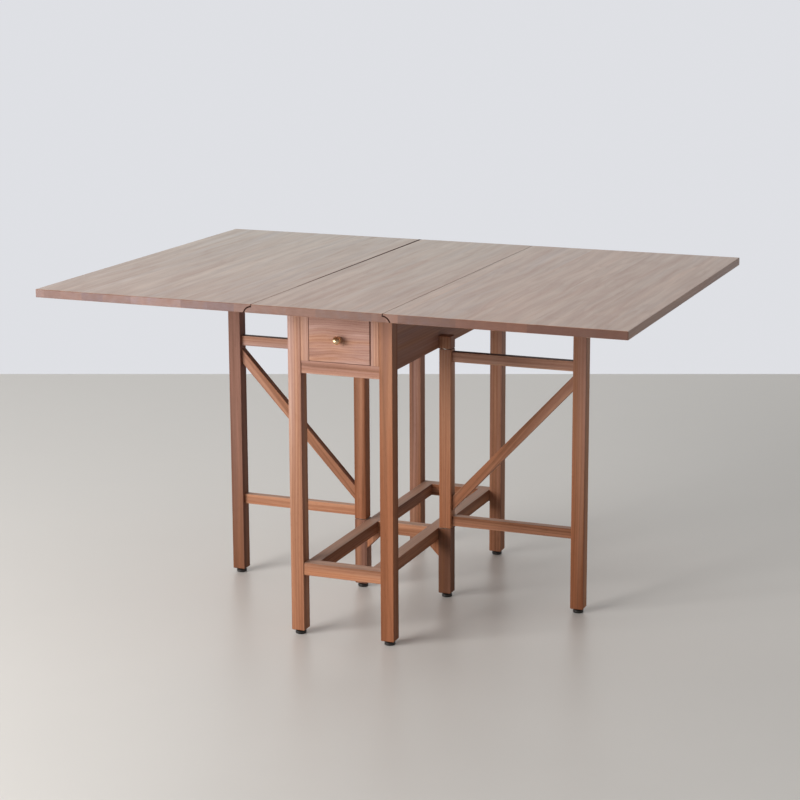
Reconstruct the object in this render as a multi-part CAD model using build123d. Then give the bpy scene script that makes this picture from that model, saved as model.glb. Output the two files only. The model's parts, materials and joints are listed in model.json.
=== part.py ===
from build123d import *
import math
import os

# Drop leaf table with two swinging gates and one drawer, in millimetres.
# The origin is on the floor under the middle of the top. +Z is up, +X runs along
# the right leaf, and the drawer faces -Y.

# Overall sizes
HEIGHT = 750.0
FRAME_WIDTH = 240.0
FRAME_DEPTH = 724.0
END_OVERHANG = 118.0
JOINT_OVERHANG = 26.0
LEAF_LENGTH = 514.0

# Top boards and their rule joints
TOP_THICKNESS = 18.0
TOP_EDGE_RADIUS = 1.5
RULE_STEP = 5.5
RULE_GAP = 1.6

# Legs and their glides
LEG = 30.0
LEG_CHAMFER = 1.8
EDGE_RADIUS = 1.2
GLIDE_DIAMETER = 24.0
GLIDE_HEIGHT = 10.0
GLIDE_PAD_HEIGHT = 8.5
GLIDE_RIM_HEIGHT = 6.5
GLIDE_ROUNDING = 2.0
GLIDE_NECK_DIAMETER = 16.0
GLIDE_STEM_DIAMETER = 8.0
GLIDE_STEM_LENGTH = 20.0

# Aprons, rails and stretchers
APRON_HEIGHT = 147.0
APRON_THICKNESS = 18.0
APRON_INSET = 1.0
RAIL_HEIGHT = 28.0
RAIL_THICKNESS = 22.0
RAIL_SETBACK = 2.0
TOP_RAIL_HEIGHT = 16.0
STRETCHER_BOTTOM = 137.0
STRETCHER_HEIGHT = 28.0
STRETCHER_THICKNESS = 28.0
MIDDLE_STRETCHER_WIDTH = 24.0
MIDDLE_TENON_IN_STUB = 8.0
CORNER_BLOCK = 40.0
CORNER_BLOCK_THICKNESS = 24.0
TENON_LENGTH = 16.0
TENON_SHOULDER = 5.0
TOP_RAIL_SHOULDER = 3.0
TONGUE_LENGTH = 8.0
TONGUE_SHOULDER = 5.0

# Gates
GATE_POST = 28.0
GATE_LEG = 30.0
GATE_NEST_GAP = 1.0
GATE_RAIL_HEIGHT = 23.0
GATE_RAIL_THICKNESS = 18.0
GATE_RAIL_SETBACK = 8.0
GATE_TOP_RAIL_DROP = 6.0
GATE_LOWER_RAIL_LIFT = 4.5
GATE_TENON_SHOULDER = 4.0
GATE_TENON_WALL = 2.0
BRACE_WIDTH = 23.0
BRACE_TOP_GAP = 8.0
BRACE_LOW_GAP = 12.0
BRACE_HOUSING = 8.0
LEAF_CLEARANCE = 0.3
PIN_DIAMETER = 8.0
PIN_IN_POST = 30.0
PIN_IN_FRAME = 18.0
PIN_END_GAP = 1.0
PIN_CLEARANCE = 0.05
WASHER_DIAMETER = 22.0
WASHER_THICKNESS = 1.5
PIVOT_PLAY = 0.2
STOP_THICKNESS = 12.0
STOP_HEIGHT = 20.0
STOP_GAP = 0.5

# Drawer, its runners and its knob; the drawer lies nearer to the left stile
DRAWER_GAP = 1.0
DRAWER_LEFT_GAP = 0.8
DRAWER_RIGHT_GAP = 2.0
DRAWER_PLAY = 0.3
DRAWER_END_GAP = 0.5
DRAWER_FRONT = 18.0
DRAWER_SIDE = 12.0
DRAWER_SIDE_DROP = 7.0
DRAWER_BOTTOM = 6.0
DRAWER_BOTTOM_LIFT = 8.0
DRAWER_GROOVE = 5.0
DRAWER_BACK_INSET = 8.0
TAIL_COUNT = 3
TAIL_LENGTH = 10.0
TAIL_FLARE = 2.0
TAIL_SHARE = 0.55
RUNNER_WIDTH = 14.0
RUNNER_HEIGHT = 14.0
KNOB_BALL_DIAMETER = 18.0
KNOB_REACH = 13.0
KNOB_NECK_DIAMETER = 6.0
KNOB_BASE_DIAMETER = 13.0
KNOB_BASE_THICKNESS = 2.0
KNOB_SCREW_DIAMETER = 4.0
KNOB_SCREW_HEAD = 9.0
KNOB_SCREW_HEAD_HEIGHT = 2.5
KNOB_SCREW_DEPTH = 10.0

# Hinges under the top
HINGE_FROM_LEG = 38.0
HINGE_WIDTH = 38.0
HINGE_PLATE = 2.0
HINGE_FIXED_LENGTH = 32.0
HINGE_LEAF_LENGTH = 60.0
HINGE_KNUCKLE = 7.0
HINGE_PIN = 3.6
HINGE_MIDDLE_KNUCKLE = 14.0
HINGE_GAP = 0.5
HINGE_RELIEF = 1.0
HINGE_SCREW_EDGE = 8.0

# Screws
SCREW_DIAMETER = 4.0
SCREW_HEAD = 8.0
SCREW_TIP = 4.0
SCREW_COVER = 6.0
SCREW_SPREAD = 18.0
BLOCK_SCREW_BITE = 20.0
HINGE_SCREW_DIAMETER = 3.5
HINGE_SCREW_HEAD = 7.0
TOP_SCREW_PITCH = 250.0

# Places worked out from the sizes above
UNDER_Z = HEIGHT - TOP_THICKNESS
TOP_HALF_DEPTH = FRAME_DEPTH / 2 + END_OVERHANG
AXIS_X = FRAME_WIDTH / 2 + JOINT_OVERHANG
LEAF_END_X = AXIS_X + LEAF_LENGTH
AXIS_Z = UNDER_Z - HINGE_KNUCKLE / 2 - HINGE_RELIEF
RULE_RADIUS = HEIGHT - RULE_STEP - AXIS_Z

LEG_OUT_X = FRAME_WIDTH / 2
LEG_IN_X = LEG_OUT_X - LEG
LEG_OUT_Y = FRAME_DEPTH / 2
LEG_IN_Y = LEG_OUT_Y - LEG
SIDE_OUT_X = LEG_IN_X - APRON_INSET
APRON_IN_X = SIDE_OUT_X - APRON_THICKNESS
STRETCHER_IN_X = SIDE_OUT_X - STRETCHER_THICKNESS
RAIL_OUT_Y = LEG_OUT_Y - RAIL_SETBACK
RAIL_IN_Y = RAIL_OUT_Y - RAIL_THICKNESS
APRON_IN_Y = RAIL_OUT_Y - APRON_THICKNESS
STRETCHER_IN_Y = RAIL_OUT_Y - STRETCHER_THICKNESS

APRON_Z = UNDER_Z - APRON_HEIGHT
RAIL_TOP_Z = APRON_Z + RAIL_HEIGHT
TOP_RAIL_Z = UNDER_Z - TOP_RAIL_HEIGHT
STRETCHER_TOP_Z = STRETCHER_BOTTOM + STRETCHER_HEIGHT

PIVOT_X = LEG_OUT_X - LEG / 2
GATE_REACH = LEG_IN_Y - GATE_NEST_GAP - GATE_LEG / 2
GATE_LEG_X = PIVOT_X + GATE_REACH
POST_OUT_X = PIVOT_X + GATE_POST / 2
GATE_LEG_IN_X = GATE_LEG_X - GATE_LEG / 2
POST_TOP_Z = APRON_Z - WASHER_THICKNESS - PIVOT_PLAY
POST_BOTTOM_Z = STRETCHER_TOP_Z + WASHER_THICKNESS + PIVOT_PLAY
GATE_TOP_RAIL_TOP = POST_TOP_Z - GATE_TOP_RAIL_DROP
GATE_TOP_RAIL_BOTTOM = GATE_TOP_RAIL_TOP - GATE_RAIL_HEIGHT
GATE_LOWER_RAIL_BOTTOM = POST_BOTTOM_Z + GATE_LOWER_RAIL_LIFT
GATE_LOWER_RAIL_TOP = GATE_LOWER_RAIL_BOTTOM + GATE_RAIL_HEIGHT
GATE_RAIL_FRONT = -GATE_POST / 2 + GATE_RAIL_SETBACK
GATE_RAIL_BACK = GATE_RAIL_FRONT + GATE_RAIL_THICKNESS
GATE_TENON = (GATE_POST - PIN_DIAMETER) / 2 - GATE_TENON_WALL

DRAWER_HALF = APRON_IN_X - (DRAWER_LEFT_GAP + DRAWER_RIGHT_GAP) / 2
DRAWER_X = (DRAWER_LEFT_GAP - DRAWER_RIGHT_GAP) / 2
DRAWER_FRONT_Y = -LEG_OUT_Y
DRAWER_FRONT_IN_Y = DRAWER_FRONT_Y + DRAWER_FRONT
DRAWER_END_Y = APRON_IN_Y - DRAWER_END_GAP
DRAWER_FRONT_Z = RAIL_TOP_Z + DRAWER_GAP
DRAWER_FRONT_TOP = TOP_RAIL_Z - DRAWER_GAP
DRAWER_SIDE_Z = RAIL_TOP_Z + DRAWER_PLAY
DRAWER_SIDE_TOP = DRAWER_FRONT_TOP - DRAWER_SIDE_DROP
DRAWER_BOTTOM_Z = DRAWER_FRONT_Z + DRAWER_BOTTOM_LIFT
DRAWER_SIDE_IN_X = DRAWER_HALF - DRAWER_SIDE
KNOB_Z = (DRAWER_FRONT_Z + DRAWER_FRONT_TOP) / 2

HINGE_Y = LEG_OUT_Y + HINGE_FROM_LEG
HINGE_PLACES = (-HINGE_Y, 0.0, HINGE_Y)


# Shapes that many pieces share
def block(x_span, y_span, z_span):
    """Box between a low and a high value on each axis."""
    spans = (x_span, y_span, z_span)
    middle = [(low + high) / 2 for low, high in spans]
    size = [high - low for low, high in spans]
    return Pos(*middle) * Box(*size)


def eased(solid, axis, radius=EDGE_RADIUS):
    """The solid with its edges along one axis rounded."""
    return fillet(solid.edges().filter_by(axis), radius)


def inset(span, amount):
    """A span drawn in by the same amount at both ends."""
    return (span[0] + amount, span[1] - amount)


def rail_along_x(x_span, y_span, z_span, tenon, shoulder):
    """Bar between two pieces along X, with a tenon on each end."""
    body = eased(block(x_span, y_span, z_span), Axis.X)
    core = block(inset(x_span, -tenon), inset(y_span, shoulder), inset(z_span, shoulder))
    return body + core


def rail_along_y(x_span, y_span, z_span, tenon, shoulder):
    """Bar between two pieces along Y, with a tenon on each end."""
    body = eased(block(x_span, y_span, z_span), Axis.Y)
    core = block(inset(x_span, shoulder), inset(y_span, -tenon), inset(z_span, shoulder))
    return body + core


def rod(diameter, x, y, z_span):
    """Upright round rod."""
    height = z_span[1] - z_span[0]
    return Pos(x, y, (z_span[0] + z_span[1]) / 2) * Cylinder(diameter / 2, height)


def rod_along_y(diameter, x, z, y_span):
    """Round rod lying along Y."""
    length = y_span[1] - y_span[0]
    middle = (y_span[0] + y_span[1]) / 2
    return Pos(x, middle, z) * Rot(90, 0, 0) * Cylinder(diameter / 2, length)


def screw(diameter, head, length):
    """Countersunk screw, its flat head at the origin and its shank along +Z."""
    sink = (head - diameter) / 2
    outline = Polyline(
        (0, 0),
        (head / 2, 0),
        (diameter / 2, sink),
        (diameter / 2, length - SCREW_TIP),
        (0, length),
        close=True,
    )
    return revolve(Plane.XZ * make_face(outline), Axis.Z)


def on_left(solid):
    """The same piece on the other side of the table."""
    return mirror(solid, about=Plane.YZ)


def at_back(solid):
    """The same piece at the other end of the table."""
    return mirror(solid, about=Plane.XZ)


# Fasteners and hinges come first, because the wood is cut for them
def hinge_screw_places(reach):
    """Three places on a hinge plate, as distances from the pin and from its middle."""
    far = reach - HINGE_SCREW_EDGE
    near = reach / 2
    side = HINGE_WIDTH / 2 - HINGE_SCREW_EDGE
    return ((far, -side), (far, side), (near, 0.0))


def hinge_screws_at(direction, reach):
    """Screws of one row of plates on the right; direction is +1 towards the leaf."""
    length = HINGE_PLATE + TOP_THICKNESS - SCREW_COVER
    one = screw(HINGE_SCREW_DIAMETER, HINGE_SCREW_HEAD, length)
    return [
        Pos(AXIS_X + direction * along, place + across, UNDER_Z - HINGE_PLATE) * one
        for place in HINGE_PLACES
        for along, across in hinge_screw_places(reach)
    ]


def hinge_knuckle_spans(place):
    """Y spans of the two outer knuckles and of the middle one, around a hinge's middle."""
    half = HINGE_WIDTH / 2
    middle = HINGE_MIDDLE_KNUCKLE / 2
    outer = ((place - half, place - middle - HINGE_GAP), (place + middle + HINGE_GAP, place + half))
    return outer, (place - middle, place + middle)


def hinge_knuckle(span, direction):
    """Knuckle with a web up to its plate on the right; direction is +1 towards the leaf."""
    web_x = sorted((AXIS_X, AXIS_X + direction * HINGE_KNUCKLE / 2))
    web = block(web_x, span, (AXIS_Z, UNDER_Z - HINGE_PLATE))
    return rod_along_y(HINGE_KNUCKLE, AXIS_X, AXIS_Z, span) + web


def hinge_notch(span):
    """Room in a plate for a knuckle of the other plate."""
    reach = HINGE_KNUCKLE / 2 + HINGE_GAP
    return block((AXIS_X - reach, AXIS_X + reach), inset(span, -HINGE_GAP), (UNDER_Z - HINGE_PLATE, UNDER_Z))


def hinge_fixed_plate(place, screws):
    """Plate under the centre board, with the two outer knuckles."""
    outer, middle = hinge_knuckle_spans(place)
    across = (place - HINGE_WIDTH / 2, place + HINGE_WIDTH / 2)
    plate = block((AXIS_X - HINGE_FIXED_LENGTH, AXIS_X), across, (UNDER_Z - HINGE_PLATE, UNDER_Z))
    plate -= hinge_notch(middle)
    for span in outer:
        plate += hinge_knuckle(span, -1)
    return plate - rod_along_y(HINGE_PIN, AXIS_X, AXIS_Z, across) - screws


def hinge_leaf_plate(place, screws):
    """Plate under the leaf, with the middle knuckle."""
    outer, middle = hinge_knuckle_spans(place)
    across = (place - HINGE_WIDTH / 2, place + HINGE_WIDTH / 2)
    plate = block((AXIS_X, AXIS_X + HINGE_LEAF_LENGTH), across, (UNDER_Z - HINGE_PLATE, UNDER_Z))
    for span in outer:
        plate -= hinge_notch(span)
    plate += hinge_knuckle(middle, 1)
    bore = rod_along_y(HINGE_PIN + 2 * PIN_CLEARANCE, AXIS_X, AXIS_Z, across)
    return plate - bore - screws


fixed_screws_right = hinge_screws_at(-1, HINGE_FIXED_LENGTH)
leaf_screws_right = hinge_screws_at(1, HINGE_LEAF_LENGTH)
fixed_plates_right = [hinge_fixed_plate(place, fixed_screws_right) for place in HINGE_PLACES]
leaf_plates_right = [hinge_leaf_plate(place, leaf_screws_right) for place in HINGE_PLACES]
hinge_pins_right = [
    rod_along_y(HINGE_PIN, AXIS_X, AXIS_Z, (place - HINGE_WIDTH / 2, place + HINGE_WIDTH / 2))
    for place in HINGE_PLACES
]


def top_screws_right():
    """Screws up through the right kicker into the centre board."""
    length = TOP_RAIL_HEIGHT + TOP_THICKNESS - SCREW_COVER
    x = APRON_IN_X - RUNNER_WIDTH / 2
    one = screw(SCREW_DIAMETER, SCREW_HEAD, length)
    return [Pos(x, place, TOP_RAIL_Z) * one for place in (-TOP_SCREW_PITCH, 0.0, TOP_SCREW_PITCH)]


def side_screws_right(x, z, thickness):
    """Two screws outwards through a side piece into the block on its outer face."""
    one = Rot(0, 90, 0) * screw(SCREW_DIAMETER, SCREW_HEAD, thickness + BLOCK_SCREW_BITE)
    return [Pos(x, place, z) * one for place in (-SCREW_SPREAD / 2, SCREW_SPREAD / 2)]


block_screw_z = APRON_Z + (RAIL_HEIGHT - RUNNER_HEIGHT) / 2
kicker_screws = top_screws_right()
block_screws = side_screws_right(APRON_IN_X, block_screw_z, APRON_THICKNESS)
frame_screws_right = kicker_screws + block_screws


# Top boards
def rule_points(radius, start):
    """Start, middle and end of a rule joint's curve, from a distance past the axis to the underside."""
    first = math.acos(start / radius)
    last = math.asin((UNDER_Z - AXIS_Z) / radius)
    angles = (first, (first + last) / 2, last)
    return [(AXIS_X + radius * math.cos(angle), AXIS_Z + radius * math.sin(angle)) for angle in angles]


def centre_board():
    """Centre of the top, with a step and a round along both long edges."""
    step, middle, tip = rule_points(RULE_RADIUS, 0.0)
    left_step, left_middle, left_tip = [(-x, z) for x, z in (step, middle, tip)]
    outline = [
        Line((-AXIS_X, HEIGHT), (AXIS_X, HEIGHT)),
        Line((AXIS_X, HEIGHT), step),
        ThreePointArc(step, middle, tip),
        Line(tip, left_tip),
        ThreePointArc(left_tip, left_middle, left_step),
        Line(left_step, (-AXIS_X, HEIGHT)),
    ]
    board = extrude(Plane.XZ * make_face(outline), TOP_HALF_DEPTH, both=True)
    ends = board.edges().filter_by(Axis.X).group_by(Axis.Z)
    board = fillet(ends[-1] + ends[0], TOP_EDGE_RADIUS)
    cuts = []
    for place in HINGE_PLACES:
        across = (place - HINGE_WIDTH / 2 - HINGE_GAP, place + HINGE_WIDTH / 2 + HINGE_GAP)
        past_edge = AXIS_X + RULE_RADIUS + RULE_GAP
        cuts.append(block((AXIS_X, past_edge), across, (UNDER_Z, UNDER_Z + HINGE_RELIEF)))
    cuts += fixed_screws_right + kicker_screws
    return board - cuts - [on_left(cut) for cut in cuts]


def right_leaf_board():
    """Right leaf, with a cove that fits over the round."""
    lip, middle, tip = rule_points(RULE_RADIUS + RULE_GAP, RULE_GAP)
    lip_top = (AXIS_X + RULE_GAP, HEIGHT)
    outline = [
        Line(lip_top, (LEAF_END_X, HEIGHT)),
        Line((LEAF_END_X, HEIGHT), (LEAF_END_X, UNDER_Z)),
        Line((LEAF_END_X, UNDER_Z), tip),
        ThreePointArc(tip, middle, lip),
        Line(lip, lip_top),
    ]
    board = extrude(Plane.XZ * make_face(outline), TOP_HALF_DEPTH, both=True)
    along_x = board.edges().filter_by(Axis.X)
    long_edges = [edge for edge in along_x if edge.length > LEAF_LENGTH / 2]
    end_edges = board.faces().sort_by(Axis.X)[-1].edges().filter_by(Axis.Y)
    corners = board.faces().sort_by(Axis.X)[-1].edges().filter_by(Axis.Z)
    board = fillet(long_edges + end_edges + corners, TOP_EDGE_RADIUS)
    return board - leaf_screws_right


def right_gate_stop():
    """Block under the leaf that the open gate's leg meets."""
    face_y = -GATE_LEG / 2 - STOP_GAP
    stop = block(
        (GATE_LEG_IN_X, GATE_LEG_IN_X + GATE_LEG),
        (face_y - STOP_THICKNESS, face_y),
        (UNDER_Z - STOP_HEIGHT, UNDER_Z),
    )
    return eased(stop, Axis.Z)


# Frame
def glide(x, y):
    """Round foot: a pad, a neck and a stem that goes up into a leg."""
    rim = GLIDE_DIAMETER / 2
    neck = GLIDE_NECK_DIAMETER / 2
    stem = GLIDE_STEM_DIAMETER / 2
    stem_top = GLIDE_HEIGHT + GLIDE_STEM_LENGTH
    outline = Polyline(
        (0, 0),
        (rim, 0),
        (rim, GLIDE_RIM_HEIGHT),
        (neck, GLIDE_PAD_HEIGHT),
        (neck, GLIDE_HEIGHT),
        (stem, GLIDE_HEIGHT),
        (stem, stem_top),
        (0, stem_top),
        close=True,
    )
    foot = revolve(Plane.XZ * make_face(outline), Axis.Z)
    rim_edges = [edge for edge in foot.edges().filter_by(GeomType.CIRCLE) if edge.radius > neck]
    return Pos(x, y, 0) * fillet(rim_edges, GLIDE_ROUNDING)


def leg_stick(x_span, y_span, top):
    """Square leg with eased edges and a chamfered foot."""
    square = block(x_span, y_span, (GLIDE_HEIGHT, top))
    pointed = chamfer(square.faces().sort_by(Axis.Z)[0].edges(), LEG_CHAMFER)
    return eased(square, Axis.Z) & pointed


leg_span_x = (LEG_IN_X, LEG_OUT_X)
back_span_y = (LEG_IN_Y, LEG_OUT_Y)
leg_middle_y = LEG_OUT_Y - LEG / 2
between_legs = (-LEG_IN_X, LEG_IN_X)
rail_span_y = (-RAIL_OUT_Y, -RAIL_IN_Y)
side_span_x = (APRON_IN_X, SIDE_OUT_X)
side_span_y = (-RAIL_IN_Y, APRON_IN_Y)
post_span_y = (-GATE_POST / 2, GATE_POST / 2)
post_seat_x = (SIDE_OUT_X, POST_OUT_X)
stretcher_span_z = (STRETCHER_BOTTOM, STRETCHER_TOP_Z)

drawer_rail = rail_along_x(between_legs, rail_span_y, (APRON_Z, RAIL_TOP_Z), TENON_LENGTH, TENON_SHOULDER)
top_rail = rail_along_x(between_legs, rail_span_y, (TOP_RAIL_Z, UNDER_Z), TENON_LENGTH, TOP_RAIL_SHOULDER)
back_apron = rail_along_x(
    between_legs, (APRON_IN_Y, RAIL_OUT_Y), (APRON_Z, UNDER_Z), TENON_LENGTH, TENON_SHOULDER
)
front_stretcher = rail_along_x(
    between_legs,
    (-RAIL_OUT_Y, -STRETCHER_IN_Y),
    stretcher_span_z,
    TENON_LENGTH,
    TENON_SHOULDER,
)
middle_stretcher = rail_along_x(
    (-STRETCHER_IN_X, STRETCHER_IN_X),
    (-MIDDLE_STRETCHER_WIDTH / 2, MIDDLE_STRETCHER_WIDTH / 2),
    stretcher_span_z,
    STRETCHER_THICKNESS + MIDDLE_TENON_IN_STUB,
    TENON_SHOULDER,
)
right_stretcher = rail_along_y(
    (STRETCHER_IN_X, SIDE_OUT_X),
    (-STRETCHER_IN_Y, STRETCHER_IN_Y),
    stretcher_span_z,
    STRETCHER_THICKNESS / 2,
    TENON_SHOULDER,
)
right_stretcher -= middle_stretcher
back_stretcher = at_back(front_stretcher)
front_stretcher -= [right_stretcher, on_left(right_stretcher)]
back_stretcher -= [right_stretcher, on_left(right_stretcher)]


def right_side_apron():
    """Board behind the legs, tongued into the stile and the back apron."""
    board = eased(block(side_span_x, side_span_y, (APRON_Z, UNDER_Z)), Axis.Y)
    tongue_x = inset(side_span_x, TONGUE_SHOULDER)
    tongue_z = inset((RAIL_TOP_Z, TOP_RAIL_Z), TONGUE_SHOULDER)
    board += block(tongue_x, inset(side_span_y, -TONGUE_LENGTH), tongue_z)
    return board - block_screws


right_apron = right_side_apron()
back_apron -= [right_apron, on_left(right_apron)]


def right_front_stile():
    """Upright between the leg and the drawer."""
    stile = block((APRON_IN_X, LEG_IN_X), (-LEG_OUT_Y, -RAIL_IN_Y), (RAIL_TOP_Z, TOP_RAIL_Z))
    return eased(stile, Axis.Z) - right_apron


def right_back_leg():
    """Corner leg with mortises for the back apron and the back stretcher."""
    stick = leg_stick(leg_span_x, back_span_y, UNDER_Z)
    return stick - [back_apron, back_stretcher, glide(PIVOT_X, leg_middle_y)]


def right_front_leg():
    """Corner leg with mortises for the two rails and the front stretcher."""
    front_span_y = (-LEG_OUT_Y, -LEG_IN_Y)
    stick = leg_stick(leg_span_x, front_span_y, UNDER_Z)
    return stick - [drawer_rail, top_rail, front_stretcher, glide(PIVOT_X, -leg_middle_y)]


def right_stub_leg():
    """Short fixed leg that carries the foot of the gate post."""
    pin_span = (STRETCHER_TOP_Z - PIN_IN_FRAME - PIN_END_GAP, STRETCHER_TOP_Z)
    stub = leg_stick(post_seat_x, post_span_y, STRETCHER_TOP_Z)
    bore = rod(PIN_DIAMETER + 2 * PIN_CLEARANCE, PIVOT_X, 0, pin_span)
    return stub - [bore, glide(PIVOT_X, 0), middle_stretcher]


def right_corner_block():
    """Three-cornered block in the angle between the stub leg and the stretchers."""
    outline = Polyline(
        (SIDE_OUT_X, STRETCHER_BOTTOM),
        (SIDE_OUT_X - CORNER_BLOCK, STRETCHER_BOTTOM),
        (SIDE_OUT_X, STRETCHER_BOTTOM - CORNER_BLOCK),
        close=True,
    )
    corner = extrude(Plane.XZ * make_face(outline), CORNER_BLOCK_THICKNESS / 2, both=True)
    sloping = [edge for edge in corner.edges() if edge.length > max(CORNER_BLOCK, CORNER_BLOCK_THICKNESS)]
    return fillet(sloping, EDGE_RADIUS)


def right_pivot_block():
    """Block on the apron that carries the head of the gate post."""
    body = block(post_seat_x, post_span_y, (APRON_Z, RAIL_TOP_Z))
    pin_span = (APRON_Z, APRON_Z + PIN_IN_FRAME + PIN_END_GAP)
    bore = rod(PIN_DIAMETER + 2 * PIN_CLEARANCE, PIVOT_X, 0, pin_span)
    return eased(body, Axis.Z) - bore - block_screws


def right_slip(z_span):
    """Straight strip along the inside of the right apron."""
    return block((APRON_IN_X - RUNNER_WIDTH, APRON_IN_X), side_span_y, z_span)


right_runner = right_slip((RAIL_TOP_Z - RUNNER_HEIGHT, RAIL_TOP_Z))
right_kicker = right_slip((TOP_RAIL_Z, UNDER_Z)) - kicker_screws
right_corner = right_corner_block()
glide_places = [(PIVOT_X, -leg_middle_y), (PIVOT_X, 0.0), (PIVOT_X, leg_middle_y)]
frame_glides_right = [glide(x, y) for x, y in glide_places]


# Gates
gate_rail_y = (GATE_RAIL_FRONT, GATE_RAIL_BACK)
gate_between = (POST_OUT_X, GATE_LEG_IN_X)


def gate_rail(z_span):
    """Rail between the gate's post and its leg."""
    return rail_along_x(gate_between, gate_rail_y, z_span, GATE_TENON, GATE_TENON_SHOULDER)


def gate_brace_bar():
    """Diagonal from above the lower rail at the post to below the top rail at the leg."""
    run = GATE_LEG_IN_X - POST_OUT_X
    low = GATE_LOWER_RAIL_TOP + BRACE_LOW_GAP
    rise = GATE_TOP_RAIL_BOTTOM - BRACE_TOP_GAP - low
    angle = math.acos(BRACE_WIDTH / math.hypot(run, rise)) - math.atan2(run, rise)
    slope = math.tan(angle)
    upright = BRACE_WIDTH / math.cos(angle)
    start = POST_OUT_X - BRACE_HOUSING
    end = GATE_LEG_IN_X + BRACE_HOUSING
    start_z = low - BRACE_HOUSING * slope
    end_z = low + (run + BRACE_HOUSING) * slope
    outline = Polyline(
        (start, start_z),
        (end, end_z),
        (end, end_z + upright),
        (start, start_z + upright),
        close=True,
    )
    bar = extrude(Plane.XZ * make_face(outline), -GATE_RAIL_THICKNESS)
    bar = Pos(0, GATE_RAIL_FRONT, 0) * bar
    sloping = [edge for edge in bar.edges() if edge.length > run]
    return fillet(sloping, EDGE_RADIUS)


gate_top_rail = gate_rail((GATE_TOP_RAIL_BOTTOM, GATE_TOP_RAIL_TOP))
gate_lower_rail = gate_rail((GATE_LOWER_RAIL_BOTTOM, GATE_LOWER_RAIL_TOP))
gate_brace = gate_brace_bar()
gate_bars = [gate_top_rail, gate_lower_rail, gate_brace]
gate_pins = [
    rod(PIN_DIAMETER, PIVOT_X, 0, (POST_TOP_Z - PIN_IN_POST, APRON_Z + PIN_IN_FRAME)),
    rod(PIN_DIAMETER, PIVOT_X, 0, (STRETCHER_TOP_Z - PIN_IN_FRAME, POST_BOTTOM_Z + PIN_IN_POST)),
]
gate_washers = [
    rod(WASHER_DIAMETER, PIVOT_X, 0, (POST_TOP_Z, POST_TOP_Z + WASHER_THICKNESS)) - gate_pins,
    rod(WASHER_DIAMETER, PIVOT_X, 0, (POST_BOTTOM_Z - WASHER_THICKNESS, POST_BOTTOM_Z)) - gate_pins,
]
gate_glide = glide(GATE_LEG_X, 0)


def gate_turning_post():
    """Post that turns between the stub leg and the pivot block."""
    span_x = (PIVOT_X - GATE_POST / 2, POST_OUT_X)
    post = block(span_x, post_span_y, (POST_BOTTOM_Z, POST_TOP_Z))
    return eased(post, Axis.Z) - gate_bars - gate_pins


def gate_outer_leg():
    """Leg that stands under the leaf."""
    span_x = (GATE_LEG_IN_X, GATE_LEG_IN_X + GATE_LEG)
    span_y = (-GATE_LEG / 2, GATE_LEG / 2)
    stick = leg_stick(span_x, span_y, UNDER_Z - LEAF_CLEARANCE)
    return stick - gate_bars - gate_glide


# Drawer
def drawer_side_tails():
    """Dovetails on the front end of the right drawer side."""
    pitch = (DRAWER_SIDE_TOP - DRAWER_FRONT_Z) / TAIL_COUNT
    root = pitch * TAIL_SHARE / 2
    tails = []
    for number in range(TAIL_COUNT):
        middle = DRAWER_FRONT_Z + pitch * (number + 0.5)
        outline = Polyline(
            (DRAWER_FRONT_IN_Y, middle - root),
            (DRAWER_FRONT_IN_Y, middle + root),
            (DRAWER_FRONT_IN_Y - TAIL_LENGTH, middle + root + TAIL_FLARE),
            (DRAWER_FRONT_IN_Y - TAIL_LENGTH, middle - root - TAIL_FLARE),
            close=True,
        )
        tail = extrude(Plane.YZ * make_face(outline), DRAWER_SIDE)
        tails.append(Pos(DRAWER_SIDE_IN_X, 0, 0) * tail)
    return tails


drawer_bottom = block(
    (-DRAWER_SIDE_IN_X - DRAWER_GROOVE, DRAWER_SIDE_IN_X + DRAWER_GROOVE),
    (DRAWER_FRONT_IN_Y - DRAWER_GROOVE, DRAWER_END_Y - DRAWER_BACK_INSET),
    (DRAWER_BOTTOM_Z, DRAWER_BOTTOM_Z + DRAWER_BOTTOM),
)
drawer_back = block(
    (-DRAWER_SIDE_IN_X - DRAWER_GROOVE, DRAWER_SIDE_IN_X + DRAWER_GROOVE),
    (DRAWER_END_Y - DRAWER_BACK_INSET - DRAWER_SIDE, DRAWER_END_Y - DRAWER_BACK_INSET),
    (DRAWER_BOTTOM_Z + DRAWER_BOTTOM, DRAWER_SIDE_TOP),
)


def right_drawer_side():
    """Side of the drawer, dovetailed to the front and grooved for the bottom and back."""
    board = block(
        (DRAWER_SIDE_IN_X, DRAWER_HALF),
        (DRAWER_FRONT_IN_Y, DRAWER_END_Y),
        (DRAWER_SIDE_Z, DRAWER_SIDE_TOP),
    )
    return board + drawer_side_tails() - [drawer_bottom, drawer_back]


def along_knob(solid, distance):
    """Place a solid of revolution on the knob's axis, a distance out from the drawer front."""
    return Pos(0, DRAWER_FRONT_Y - distance, KNOB_Z) * Rot(90, 0, 0) * solid


knob_screw_end = KNOB_BASE_THICKNESS + KNOB_SCREW_DEPTH
knob_screw_length = DRAWER_FRONT + knob_screw_end
knob_screw = along_knob(
    Cylinder(KNOB_SCREW_DIAMETER / 2, knob_screw_length), knob_screw_end - knob_screw_length / 2
)
knob_screw += along_knob(
    Cylinder(KNOB_SCREW_HEAD / 2, KNOB_SCREW_HEAD_HEIGHT),
    -DRAWER_FRONT - KNOB_SCREW_HEAD_HEIGHT / 2,
)


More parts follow.
